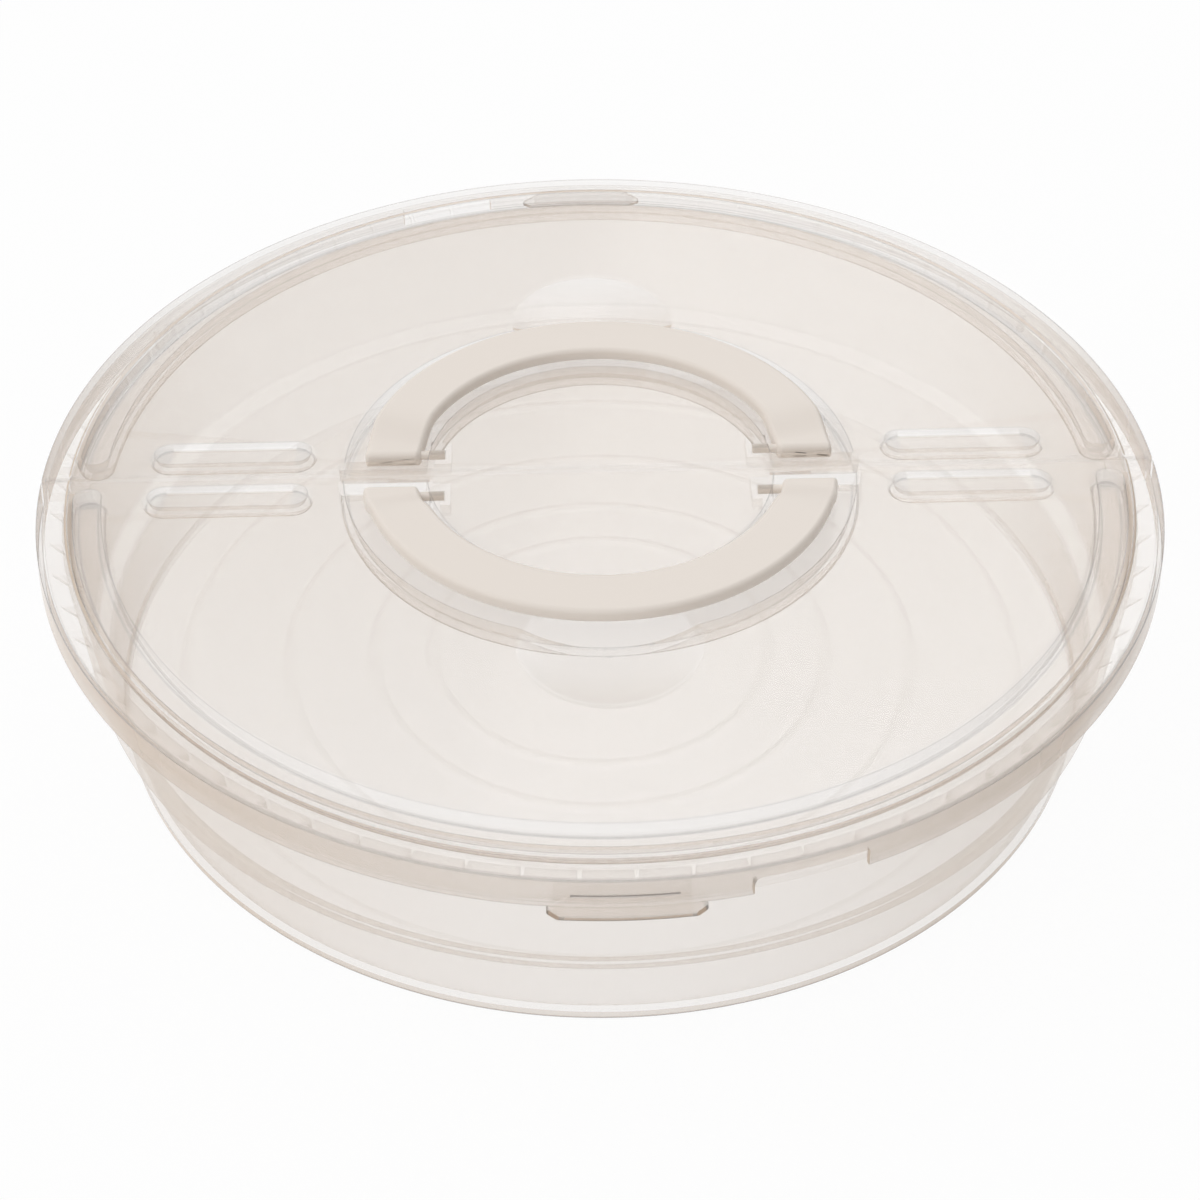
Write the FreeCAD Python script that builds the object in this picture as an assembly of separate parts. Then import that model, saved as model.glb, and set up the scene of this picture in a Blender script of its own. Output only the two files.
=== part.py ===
import FreeCAD, Part
import math
import os
from FreeCAD import Vector

# Round cake keeper: a shallow bowl, a press-on lid in two leaves joined by a film hinge across
# the middle, and two half-ring carrying handles that lie in a round channel of the lid.
# Origin in the middle of the underside, +Z up, film hinge along X, front leaf towards -Y.
# Lengths are in millimetres and angles in degrees.

# Lid leaves
panel_top = 76.5            # flat top of the lid above the table
lid_radius = 170.0          # outside of the rim
lid_wall = 1.6
rim_width = 8.2             # lowered band between the panel and the skirt
rim_step = 1.0
skirt_height = 9.9
skirt_flare = 0.6
skirt_end_gap = 3.5         # skirt left out this far from the hinge line

# Film hinge between the leaves
film_width = 1.6
film_thickness = 0.4
film_depth = 0.1            # top of the film below the panel
film_side_gap = 0.2         # film edge to leaf edge
film_end_gap = 1.4          # film end to the outside of the rim

# Round stiffening groove near the rim, whose outer wall is the lid's plug in the bowl
groove_land = 1.5           # flat strip between the groove and the lowered band
groove_width = 8.8
groove_depth = 4.5
groove_end = 5.9            # end of the groove from the hinge line
groove_lean_share = 0.15    # lean of a recess wall as a share of its depth

# Short troughs beside the hinge, one at each side of the handles
trough_width = 10.6
trough_inner_gap = 9.9      # to the handle channel
trough_outer_gap = 13.6     # to the groove
trough_depth = 2.2
trough_offset = 10.6        # middle line from the hinge line
trough_lean_share = 0.45

# Handles
handle_outer = 72.6
handle_width = 16.9
handle_rise = 4.4           # top of the bar above the panel
handle_thickness = 4.2
handle_wall = 2.0           # how deep a pin is rooted in the bar
handle_bevel = 1.4
pin_offset = 10.2           # pin axis from the hinge line
pin_drop = 2.3              # pin axis below the panel
pin_radius = 1.4
pin_length = 5.2            # inside its bearing
pin_clearance = 0.08
pin_end_gap = 0.3
eye_radius = 2.8            # rounded end of the handle about its pin
neck_top = 20.0             # where the neck reaches the top of the bar
neck_under = 24.0           # where it reaches the underside
neck_round = 12.0

# Channel that the handles lie in, and the finger hollow at its middle
channel_inner_gap = 3.0
channel_outer_gap = 5.7
channel_depth = 5.5
channel_end = 4.5           # end walls from the hinge line
scallop_radius = 26.6
scallop_shift = 1.7         # its centre lies this far outside the channel
scallop_lean_share = 0.38

# Pin bearings under the island inside the channel
bearing_width = 10.6
bearing_depth = 6.4
bearing_height = 6.0

# Lift tabs and skirt notches
tab_top_width = 27.4
tab_middle_width = 42.8
tab_bottom_width = 34.0
tab_start = 5.0             # below the rim
tab_drop = 2.4              # below the skirt
tab_flare = 2.4
notch_start = 11.5
notch_end = 22.3
notch_height = 5.8
notch_round = 2.5

# Bowl
base_wall = 1.8
floor_thickness = 2.4
foot_draft = 1.7            # outward lean of the foot wall
foot_height = 25.5
shoulder_step = 4.9
shoulder_height = 28.9
wall_draft = 3.5            # outward lean of the upper wall
flange_wall = 1.6
lip_drop = 8.6
lip_span = 120.0            # turned-down lip at the front and again at the rear

# Fits between the bowl and the lid
seat_clearance = 0.3
lip_clearance = 0.6
plug_clearance = 0.1        # at the top of the plug, which tapers

cut_overrun = 6.0           # how far a cut runs past the face that it opens

# Heights and radii that follow
rim_inner = lid_radius - rim_width
rim_top = panel_top - rim_step
rim_under = rim_top - lid_wall
skirt_bottom = rim_top - skirt_height
leaf_edge = film_width / 2 + film_side_gap
groove_outer = rim_inner - rim_step - groove_land
groove_inner = groove_outer - groove_width
groove_radius = (groove_inner + groove_outer) / 2
mouth_radius = groove_outer + lid_wall + plug_clearance
shoulder_radius = mouth_radius + base_wall - wall_draft
foot_radius = shoulder_radius - shoulder_step - foot_draft
flange_top = rim_under - seat_clearance
flange_under = flange_top - flange_wall
lip_radius = lid_radius - lid_wall - lip_clearance
lip_bottom = flange_top - lip_drop
handle_inner = handle_outer - handle_width
channel_inner = handle_inner - channel_inner_gap
channel_outer = handle_outer + channel_outer_gap
trough_start = channel_outer + trough_inner_gap
trough_end = groove_inner - trough_outer_gap
trough_centre = (trough_start + trough_end) / 2
trough_straight = trough_end - trough_start - trough_width
bar_top = panel_top + handle_rise
bar_under = bar_top - handle_thickness
pin_height = panel_top - pin_drop
pin_inner_end = channel_inner - pin_length

centre = Vector(0, 0, 0)
up = Vector(0, 0, 1)
front_angle = 270           # direction of -Y, counted from +X


def corner_arc(before, corner, after, radius):
    """Start, middle and end of the arc that rounds one corner."""
    to_before = (before - corner).normalize()
    to_after = (after - corner).normalize()
    half_angle = to_before.getAngle(to_after) / 2
    reach = radius / math.tan(half_angle)
    inward = (to_before + to_after).normalize()
    middle = corner + inward * (radius / math.sin(half_angle) - radius)
    return corner + to_before * reach, middle, corner + to_after * reach


def section(corners):
    """Face in the XZ plane from (x, z) corners, or (x, z, radius) where a corner is rounded."""
    points = [Vector(corner[0], 0, corner[1]) for corner in corners]
    stretches = []
    for i, corner in enumerate(corners):
        if len(corner) == 3:
            after = points[(i + 1) % len(points)]
            stretches.append(corner_arc(points[i - 1], points[i], after, corner[2]))
        else:
            stretches.append((points[i],))
    edges = []
    for i, stretch in enumerate(stretches):
        if len(stretch) == 3:
            edges.append(Part.Arc(*stretch).toShape())
        edges.append(Part.makeLine(stretch[-1], stretches[(i + 1) % len(stretches)][0]))
    return Part.Face(Part.Wire(edges))


def turned(face, span=360, start=0):
    """Solid of revolution about the Z axis."""
    return face.revolve(centre, up, span).rotated(centre, up, start)


def front_space(gap):
    """Everything in front of a plane at this distance from the hinge line."""
    reach = lid_radius + cut_overrun
    return Part.makeBox(2 * reach, reach, 2 * panel_top, Vector(-reach, -reach - gap, 0))


def recess_side(half_width, depth, lean=0):
    """One side of a recess as cut from above, from its middle line outwards."""
    widest = half_width + lean * cut_overrun
    return [(widest, panel_top + cut_overrun), (half_width - lean * depth, panel_top - depth)]


def shell_side(half_width, depth, lean=0):
    """The same side of the moulding around the recess, one wall larger."""
    outside = half_width + lid_wall
    floor_half = outside - lean * (depth + lid_wall / 2)
    return [(outside, panel_top - lid_wall / 2), (floor_half, panel_top - depth - lid_wall)]


def across(side, middle):
    """Whole section of a recess about its middle line."""
    right = [(middle + s, z) for s, z in side]
    left = [(middle - s, z) for s, z in reversed(side)]
    return section(right + left)


def round_end(side):
    """Recess turned about the Z axis, from half of its section."""
    return turned(section(side + [(0, side[-1][1]), (0, side[0][1])]))


def groove(side, end_gap):
    """Round groove of the front leaf, square at its ends at this distance from the hinge line."""
    end_angle = math.degrees(math.asin(end_gap / groove_radius))
    return turned(across(side, groove_radius), 180 - 2 * end_angle, front_angle - 90 + end_angle)


def groove_end_round(side, hand):
    """Round end of the groove at the left or right."""
    middle = groove_end + groove_width / 2
    place = Vector(hand * math.sqrt(groove_radius ** 2 - middle ** 2), -middle, 0)
    return round_end(side).translated(place)


def trough(side, hand, length):
    """Short straight trough along the hinge line, square at its ends."""
    body = across(side, 0).extrude(Vector(0, length, 0)).rotated(centre, up, 90)
    return body.translated(Vector(hand * trough_centre + length / 2, -trough_offset, 0))


def trough_end_round(side, hand, end):
    """Round end of a trough."""
    place = Vector(hand * trough_centre + end * trough_straight / 2, -trough_offset, 0)
    return round_end(side).translated(place)


def channel(side, end_gap):
    """Half-ring channel of the front leaf with flat end walls."""
    ring = turned(across(side, (channel_inner + channel_outer) / 2))
    return ring.common(front_space(end_gap))


def scallop(side):
    """Round finger hollow at the middle of the channel."""
    return round_end(side).translated(Vector(0, -channel_outer - scallop_shift, 0))


def recess_mouldings():
    """Walls under the panel around each recess of the front leaf, square at the ends."""
    groove_shell = shell_side(groove_width / 2, groove_depth, groove_lean_share)
    trough_shell = shell_side(trough_width / 2, trough_depth, trough_lean_share)
    channel_shell = shell_side((channel_outer - channel_inner) / 2, channel_depth)
    scallop_shell = shell_side(scallop_radius, channel_depth, scallop_lean_share)
    trough_length = trough_straight + trough_width + 2 * lid_wall
    return [
        groove(groove_shell, groove_end - lid_wall),
        trough(trough_shell, -1, trough_length),
        trough(trough_shell, 1, trough_length),
        channel(channel_shell, channel_end - lid_wall),
        scallop(scallop_shell),
    ]


def recess_cuts():
    """Recesses of the front leaf, with round ends."""
    groove_side = recess_side(groove_width / 2, groove_depth, groove_lean_share)
    trough_side = recess_side(trough_width / 2, trough_depth, trough_lean_share)
    channel_side = recess_side((channel_outer - channel_inner) / 2, channel_depth)
    scallop_side = recess_side(scallop_radius, channel_depth, scallop_lean_share)
    cuts = [
        groove(groove_side, groove_end + groove_width / 2),
        channel(channel_side, channel_end),
        scallop(scallop_side),
    ]
    for hand in (-1, 1):
        cuts.append(groove_end_round(groove_side, hand))
        cuts.append(trough(trough_side, hand, trough_straight))
        for end in (-1, 1):
            cuts.append(trough_end_round(trough_side, hand, end))
    return cuts


def lid_plate():
    """Panel, rim and skirt of the front leaf."""
    profile = section([
        (0, panel_top),
        (rim_inner - rim_step, panel_top),
        (rim_inner, rim_top),
        (lid_radius, rim_top),
        (lid_radius + skirt_flare, skirt_bottom),
        (lid_radius + skirt_flare - lid_wall, skirt_bottom),
        (lid_radius - lid_wall, rim_under),
        (groove_radius, rim_under),
        (groove_radius, panel_top - lid_wall),
        (0, panel_top - lid_wall),
    ])
    return turned(profile).common(front_space(leaf_edge))


def lift_tab():
    """Flared six-sided finger tab on the skirt."""
    top = rim_top - tab_start
    bottom = skirt_bottom - tab_drop
    top_radius = lid_radius + skirt_flare
    band = turned(section([
        (top_radius, top),
        (top_radius + tab_flare, bottom),
        (top_radius + tab_flare - lid_wall, bottom),
        (top_radius - lid_wall, top),
    ]), 90, front_angle - 45)
    outline = section([
        (-tab_top_width / 2, top),
        (tab_top_width / 2, top),
        (tab_middle_width / 2, skirt_bottom),
        (tab_bottom_width / 2, bottom),
        (-tab_bottom_width / 2, bottom),
        (-tab_middle_width / 2, skirt_bottom),
    ])
    return band.common(outline.extrude(Vector(0, -2 * lid_radius, 0)))


def skirt_notch():
    """Cut in the skirt beside the tab, round at the corner nearer the tab."""
    half = lid_radius * math.sin(math.radians((notch_end - notch_start) / 2))
    top = skirt_bottom + notch_height
    outline = section([
        (-half, skirt_bottom - cut_overrun),
        (-half, top, notch_round),
        (half, top),
        (half, skirt_bottom - cut_overrun),
    ])
    cut = outline.extrude(Vector(0, -2 * cut_overrun, 0))
    cut = cut.translated(Vector(0, cut_overrun - lid_radius, 0))
    return cut.rotated(centre, up, (notch_start + notch_end) / 2)


def bearing(hand):
    """Block under the island that carries one handle pin."""
    outer_face = channel_inner - lid_wall / 2
    block = Part.makeBox(
        bearing_depth, bearing_width, bearing_height - lid_wall / 2,
        Vector(outer_face - bearing_depth, -pin_offset - bearing_width / 2, panel_top - bearing_height))
    return block if hand > 0 else block.mirror(centre, Vector(1, 0, 0))


def bearing_bore(hand):
    """Blind bore for one handle pin, open to the channel."""
    start = Vector(hand * (pin_inner_end - pin_end_gap), -pin_offset, pin_height)
    length = pin_length + pin_end_gap + channel_inner_gap / 2
    return Part.makeCylinder(pin_radius + pin_clearance, length, start, Vector(hand, 0, 0))


def front_leaf():
    """Front half of the lid."""
    leaf = lid_plate().fuse([lift_tab(), bearing(-1), bearing(1)] + recess_mouldings())
    cuts = recess_cuts() + [skirt_notch(), bearing_bore(-1), bearing_bore(1)]
    reach = lid_radius + cut_overrun
    for x in (-reach, rim_inner):
        cuts.append(Part.makeBox(reach - rim_inner, skirt_end_gap, rim_under, Vector(x, -skirt_end_gap, 0)))
    return leaf.cut(cuts).removeSplitter()


def film_hinge():
    """Thin strip that joins the leaves and bends when they fold, following the step of the rim."""
    panel_end = rim_inner - rim_step - film_thickness
    step_end = rim_inner - film_thickness
    end = lid_radius - film_end_gap
    upper = panel_top - film_depth
    lower = rim_top - film_depth
    top_line = [(-end, lower), (-step_end, lower), (-panel_end, upper), (panel_end, upper), (step_end, lower), (end, lower)]
    under_line = [(x, z - film_thickness) for x, z in reversed(top_line)]
    strip = section(top_line + under_line).extrude(Vector(0, film_width, 0))
    return strip.translated(Vector(0, -film_width / 2, 0))


def touch_point(middle, radius, outside, hand):
    """Where a line from an outside point touches a circle."""
    away = outside - middle
    angle = math.atan2(away.z, away.x) + hand * math.acos(radius / away.Length)
    return middle + Vector(math.cos(angle), 0, math.sin(angle)) * radius


def handle_side_view():
    """Side view of a handle: round eye, rising neck and level bar, outwards along X."""
    eye = Vector(pin_offset, 0, pin_height)
    shoulder = Vector(neck_top, 0, bar_top)
    belly = Vector(neck_under, 0, bar_under)
    far_top = Vector(handle_outer + cut_overrun, 0, bar_top)
    far_under = Vector(handle_outer + cut_overrun, 0, bar_under)
    upper_touch = touch_point(eye, eye_radius, shoulder, 1)
    lower_touch = touch_point(eye, eye_radius, belly, -1)
    heel = eye - Vector(eye_radius, 0, 0)
    crest = corner_arc(upper_touch, shoulder, far_top, neck_round)
    edges = [
        Part.Arc(lower_touch, heel, upper_touch).toShape(),
        Part.makeLine(upper_touch, crest[0]),
        Part.Arc(*crest).toShape(),
        Part.makeLine(crest[2], far_top),
        Part.makeLine(far_top, far_under),
        Part.makeLine(far_under, belly),
        Part.makeLine(belly, lower_touch),
    ]
    return Part.Face(Part.Wire(edges))


def front_handle():
    """Half-ring handle of the front leaf with its two inward pins."""
    low = pin_height - 2 * eye_radius
    ring = turned(section([
        (handle_inner, low),
        (handle_outer, low),
        (handle_outer, bar_top - handle_bevel),
        (handle_outer - handle_bevel, bar_top),
        (handle_inner + handle_bevel, bar_top),
        (handle_inner, bar_top - handle_bevel),
    ]), 180, front_angle - 90)
    slab = handle_side_view().extrude(Vector(0, 2 * handle_outer, 0))
    slab = slab.translated(Vector(0, -handle_outer, 0)).rotated(centre, up, front_angle)
    bar = ring.common(slab)
    pin_root = handle_inner + handle_wall
    pins = []
    for hand in (-1, 1):
        start = Vector(hand * pin_inner_end, -pin_offset, pin_height)
        pins.append(Part.makeCylinder(pin_radius, pin_root - pin_inner_end, start, Vector(hand, 0, 0)))
    return bar.fuse(pins).removeSplitter()


def bowl_profile():
    """Half section of the bowl, from the axis under the floor round to the axis above it."""
    slope = math.atan2(shoulder_height - foot_height, shoulder_radius - foot_radius - foot_draft)
    inner_rise = base_wall * (1 / math.cos(slope) - math.tan(slope))
    return section([
        (0, 0),
        (foot_radius, 0),
        (foot_radius + foot_draft, foot_height),
        (shoulder_radius, shoulder_height),
        (mouth_radius + base_wall, flange_under),
        (lip_radius, flange_under),
        (lip_radius, flange_top),
        (mouth_radius, flange_top),
        (shoulder_radius - base_wall, shoulder_height + inner_rise),
        (foot_radius + foot_draft - base_wall, foot_height + inner_rise),
        (foot_radius - base_wall, floor_thickness),
        (0, floor_thickness),
    ])


def bowl():
    """Bowl with its flange and the two lips that the skirt grips."""
    lip = section([
        (lip_radius - flange_wall, flange_under),
        (lip_radius - flange_wall, lip_bottom),
        (lip_radius, lip_bottom),
        (lip_radius, flange_under),
    ])
    lips = [turned(lip, lip_span, front_angle - lip_span / 2 + turn) for turn in (0, 180)]
    return turned(bowl_profile()).fuse(lips).removeSplitter()


leaf = front_leaf()
handle = front_handle()
pieces = {
    "base_bowl": bowl(),
    "film_hinge": film_hinge(),
    "lid_front_leaf": leaf,
    "lid_rear_leaf": leaf.rotated(centre, up, 180),
    "front_handle": handle,
    "rear_handle": handle.rotated(centre, up, 180),
}

os.makedirs("parts", exist_ok=True)
for name, piece in pieces.items():
    piece.exportStep("parts/" + name + ".step")
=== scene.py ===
# %% [markdown]
# A round cake keeper in Blender
#
# The keeper is four plastic mouldings: a shallow bowl, a lid that folds along a film hinge across its
# middle, and two half-ring handles that lie in a channel of the lid. The solids come from CAD as a frame,
# and each of them is rebuilt here with the soft edges and the fine forms that the moulded pieces have.
# The frame is loaded first, because every new piece is placed in its coordinates, in metres.

# %% Load the frame
import math
import bmesh
import bpy
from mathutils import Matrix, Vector
from mathutils.bvhtree import BVHTree


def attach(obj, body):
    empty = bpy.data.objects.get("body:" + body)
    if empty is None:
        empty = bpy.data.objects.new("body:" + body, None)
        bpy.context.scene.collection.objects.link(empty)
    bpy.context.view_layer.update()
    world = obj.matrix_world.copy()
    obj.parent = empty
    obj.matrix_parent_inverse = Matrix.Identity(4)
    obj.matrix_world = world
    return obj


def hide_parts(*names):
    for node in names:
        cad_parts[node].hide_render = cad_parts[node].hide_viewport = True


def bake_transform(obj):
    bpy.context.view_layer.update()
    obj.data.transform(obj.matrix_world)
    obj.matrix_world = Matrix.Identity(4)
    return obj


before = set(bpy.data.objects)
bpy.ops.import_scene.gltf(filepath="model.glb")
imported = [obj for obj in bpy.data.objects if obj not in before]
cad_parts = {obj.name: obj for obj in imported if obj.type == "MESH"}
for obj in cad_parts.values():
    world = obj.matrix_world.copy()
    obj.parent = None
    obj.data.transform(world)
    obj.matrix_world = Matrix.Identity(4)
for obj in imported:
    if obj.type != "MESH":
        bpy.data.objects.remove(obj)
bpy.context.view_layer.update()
bpy.ops.object.select_all(action="DESELECT")
print("nodes:", sorted(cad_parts))

# %% [markdown]
# The camera
#
# A product photograph like this one is taken from a little above and from the front, with a long lens.
# The round rims of the keeper show as ellipses, and fitting a camera to them gives its place, its tilt
# and its focal length. The picture is square, so the sensor is square too.

# %% Camera
SENSOR_MM = 36.0
FOCAL_MM = 73.08
CAMERA_PLACE = (-0.0200, -0.5895, 0.5313)
CAMERA_TILT = 49.22
CAMERA_TURN = -1.94
camera_data = bpy.data.cameras.new("studio_camera")
camera_data.sensor_width = SENSOR_MM
camera_data.sensor_height = SENSOR_MM
camera_data.lens = FOCAL_MM
camera = bpy.data.objects.new("studio_camera", camera_data)
camera.location = CAMERA_PLACE
camera.rotation_euler = (math.radians(CAMERA_TILT), 0, math.radians(CAMERA_TURN))
bpy.context.scene.collection.objects.link(camera)
bpy.context.scene.camera = camera
print("camera distance in mm:", round(camera.location.length * 1000))

# %% [markdown]
# Colours and nodes
#
# Colours are easiest to read as sRGB hex values, as in a paint program, but shaders work with linear
# light, so one function turns the first into the second. A second function adds a shader node with its
# settings and links in one call, which keeps each material readable from top to bottom. A third tells the
# rays that show a surface, directly, in a reflection or through plastic, from those that only carry its
# light.

# %% Helpers for materials
def linear(hex_colour):
    """Linear RGBA from an sRGB hex colour."""
    channels = []
    for start in (0, 2, 4):
        value = int(hex_colour[start:start + 2], 16) / 255
        channels.append(value / 12.92 if value <= 0.04045 else ((value + 0.055) / 1.055) ** 2.4)
    return (*channels, 1.0)


def add_node(tree, kind, settings=None, inputs=None, links=None):
    """Adds one node. Settings are its own properties, inputs are socket values, links are sockets."""
    node = tree.nodes.new(kind)
    for key, value in (settings or {}).items():
        setattr(node, key, value)
    for key, value in (inputs or {}).items():
        node.inputs[key].default_value = value
    for key, socket in (links or {}).items():
        tree.links.new(socket, node.inputs[key])
    return node


def new_material(name):
    """An empty node material and its output node."""
    material = bpy.data.materials.new(name)
    material.use_nodes = True
    material.node_tree.nodes.clear()
    return material, material.node_tree, material.node_tree.nodes.new("ShaderNodeOutputMaterial")


def showing_rays(tree, path):
    """1 for rays from the camera, through plastic or in a reflection, 0 for rays that only carry light."""
    seen = add_node(tree, "ShaderNodeMath", {"operation": "MAXIMUM"},
                    links={0: path.outputs["Is Camera Ray"], 1: path.outputs["Is Transmission Ray"]})
    return add_node(tree, "ShaderNodeMath", {"operation": "MAXIMUM"},
                    links={0: seen.outputs[0], 1: path.outputs["Is Glossy Ray"]})


print("white in linear light:", linear("ffffff"))

# %% [markdown]
# Studio floor and light
#
# A see-through piece shows what surrounds it, so it is shot in a white sweep: pale floor, pale walls and
# wide soft lamps. Here the world is the white room. It is white behind the keeper, its light is stronger
# from the left, and its sides are darker in reflections, as studio walls are beside a lit sweep. The
# floor is a pale sheet that shows nearly white, also in reflections and through the plastic, and it keeps
# a small part of its own shading so that a faint shadow stays.

# %% World, floor and lamps
LEFT_LEVEL = 1.0
RIGHT_LEVEL = 0.48
SIDE_STARTS = 0.3
SIDE_ENDS = 0.8
SIDE_LEVEL = 0.3
WHITE_SHARE = 0.93
FLOOR_SIZE = 6.0
LAMP_AIM = (0, 0, 0.05)

world = bpy.data.worlds.new("white_room")
world.use_nodes = True
bpy.context.scene.world = world
tree = world.node_tree
tree.nodes.clear()
out = tree.nodes.new("ShaderNodeOutputWorld")
path = add_node(tree, "ShaderNodeLightPath")
seen = showing_rays(tree, path)
direction = add_node(tree, "ShaderNodeTexCoord")
direction = add_node(tree, "ShaderNodeSeparateXYZ", links={0: direction.outputs["Generated"]})
room_level = add_node(tree, "ShaderNodeMapRange",
                      inputs={"From Min": -1.0, "From Max": 1.0, "To Min": LEFT_LEVEL, "To Max": RIGHT_LEVEL},
                      links={"Value": direction.outputs["X"]})
room_light = add_node(tree, "ShaderNodeBackground", inputs={"Color": linear("ffffff")},
                      links={"Strength": room_level.outputs["Result"]})
sideways = add_node(tree, "ShaderNodeMath", {"operation": "ABSOLUTE"}, links={0: direction.outputs["X"]})
side_level = add_node(tree, "ShaderNodeMapRange",
                      inputs={"From Min": SIDE_STARTS, "From Max": SIDE_ENDS,
                              "To Min": 1.0, "To Max": SIDE_LEVEL},
                      links={"Value": sideways.outputs[0]})
side_level = add_node(tree, "ShaderNodeMath", {"operation": "MAXIMUM"},
                      links={0: side_level.outputs["Result"], 1: path.outputs["Is Camera Ray"]})
room_white = add_node(tree, "ShaderNodeBackground", inputs={"Color": linear("ffffff")},
                      links={"Strength": side_level.outputs[0]})
room = add_node(tree, "ShaderNodeMixShader",
                links={0: seen.outputs[0], 1: room_light.outputs[0], 2: room_white.outputs[0]})
tree.links.new(room.outputs[0], out.inputs["Surface"])

bpy.ops.mesh.primitive_plane_add(size=FLOOR_SIZE, location=(0, 0, 0))
floor = bpy.context.object
floor.name = "studio_floor"
floor_material, tree, out = new_material("pale_paper_sweep")
seen = showing_rays(tree, add_node(tree, "ShaderNodeLightPath"))
share = add_node(tree, "ShaderNodeMath", {"operation": "MULTIPLY"}, inputs={1: WHITE_SHARE},
                 links={0: seen.outputs[0]})
paper = add_node(tree, "ShaderNodeBsdfDiffuse", inputs={"Color": linear("f6f6f6")})
glow = add_node(tree, "ShaderNodeEmission", inputs={"Color": linear("ffffff"), "Strength": 1.0})
sheet = add_node(tree, "ShaderNodeMixShader",
                 links={0: share.outputs[0], 1: paper.outputs[0], 2: glow.outputs[0]})
tree.links.new(sheet.outputs[0], out.inputs["Surface"])
floor.data.materials.append(floor_material)


def softbox(name, place, size, watts):
    """A square area lamp that faces the keeper."""
    lamp = bpy.data.lights.new(name, "AREA")
    lamp.size = size
    lamp.energy = watts
    holder = bpy.data.objects.new(name, lamp)
    holder.location = place
    holder.rotation_euler = (Vector(LAMP_AIM) - Vector(place)).to_track_quat("-Z", "Y").to_euler()
    bpy.context.scene.collection.objects.link(holder)


softbox("softbox_left", place=(-1.2, -0.5, 1.3), size=1.0, watts=5.0)
softbox("softbox_back", place=(0.5, 1.2, 1.4), size=1.2, watts=4.0)
bpy.context.scene.view_settings.view_transform = "Standard"
print("floor and lamps are in place")

# %% [markdown]
# Natural polypropylene
#
# The bowl and the lid are unpigmented polypropylene, injection moulded in a polished tool. Thin walls let
# most light through with a slight haze, and each wall that light crosses adds a little warm grey, so that
# the rim, where several walls overlap, is darker than the panel. The shader is therefore a thin veil of
# plastic, and its alpha says how much of the veil a surface shows: more where light crosses the wall at a
# slant, more where the wall is deep, and more on small rounded edges. These edges are also painted grey,
# as painted shade that stands in for the dark refraction along them. The depth and the edges are read
# from marks on the faces. A faint cloud of flow marks varies the haze.
#
# Light that has crossed a wall still reaches the table, so the veil counts for less in shadows. The walls
# of lid and bowl lie behind one another many times, so rays may cross more of them than is usual.

# %% Natural polypropylene
FLOW_CLOUD_MM = 25
WALL_COLOUR = "d3c1af"
# The grey of rounded edges is painted shade, in place of the dark refraction along them.
EDGE_SHADE_COLOUR = "9f9a96"
LEAST_HAZE = 0.10
MOST_HAZE = 0.16
VEIL_FACING = 0.03
VEIL_GRAZING = 1.22
VEIL_ON_EDGES = 0.30
VEIL_IN_SHADOWS = 0.35
WALLS_CROSSED = 32

clear_plastic, tree, out = new_material("natural_polypropylene")
place = add_node(tree, "ShaderNodeTexCoord")
flow = add_node(tree, "ShaderNodeTexNoise", inputs={"Scale": 1000 / FLOW_CLOUD_MM, "Detail": 3.0},
                links={"Vector": place.outputs["Object"]})
haze = add_node(tree, "ShaderNodeMapRange", inputs={"To Min": LEAST_HAZE, "To Max": MOST_HAZE},
                links={"Value": flow.outputs["Fac"]})
rounding = add_node(tree, "ShaderNodeAttribute", {"attribute_name": "painted_edge_shade"})
depth = add_node(tree, "ShaderNodeAttribute", {"attribute_name": "wall_depth"})
facing = add_node(tree, "ShaderNodeLayerWeight", inputs={"Blend": 0.2})
# On rounded edges the tone turns grey: painted shade.
tone = add_node(tree, "ShaderNodeMix", {"data_type": "RGBA"},
                {6: linear(WALL_COLOUR), 7: linear(EDGE_SHADE_COLOUR)}, {0: rounding.outputs["Fac"]})
wall_veil = add_node(tree, "ShaderNodeMapRange", inputs={"To Min": VEIL_FACING, "To Max": VEIL_GRAZING},
                     links={"Value": facing.outputs["Facing"]})
wall_veil = add_node(tree, "ShaderNodeMath", {"operation": "MULTIPLY", "use_clamp": True},
                     links={0: wall_veil.outputs["Result"], 1: depth.outputs["Fac"]})
edge_veil = add_node(tree, "ShaderNodeMapRange", inputs={"To Min": 0.0, "To Max": VEIL_ON_EDGES},
                     links={"Value": rounding.outputs["Fac"]})
veil = add_node(tree, "ShaderNodeMath", {"operation": "MAXIMUM"},
                links={0: wall_veil.outputs[0], 1: edge_veil.outputs["Result"]})
ray = add_node(tree, "ShaderNodeLightPath")
shadow_share = add_node(tree, "ShaderNodeMapRange", inputs={"To Min": 1.0, "To Max": VEIL_IN_SHADOWS},
                        links={"Value": ray.outputs["Is Shadow Ray"]})
veil = add_node(tree, "ShaderNodeMath", {"operation": "MULTIPLY"},
                links={0: veil.outputs[0], 1: shadow_share.outputs["Result"]})
shell = add_node(tree, "ShaderNodeBsdfPrincipled", inputs={"IOR": 1.45, "Transmission Weight": 0.2},
                 links={"Base Color": tone.outputs[2], "Roughness": haze.outputs["Result"],
                        "Alpha": veil.outputs[0]})
tree.links.new(shell.outputs[0], out.inputs["Surface"])
bpy.context.scene.cycles.transparent_max_bounces = WALLS_CROSSED

# %% [markdown]
# Cream polypropylene
#
# The handles are the same plastic with a cream pigment. They are opaque, and their finely textured tool
# leaves a soft sheen instead of a gloss. The grain is about a millimetre wide and very shallow.

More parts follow.
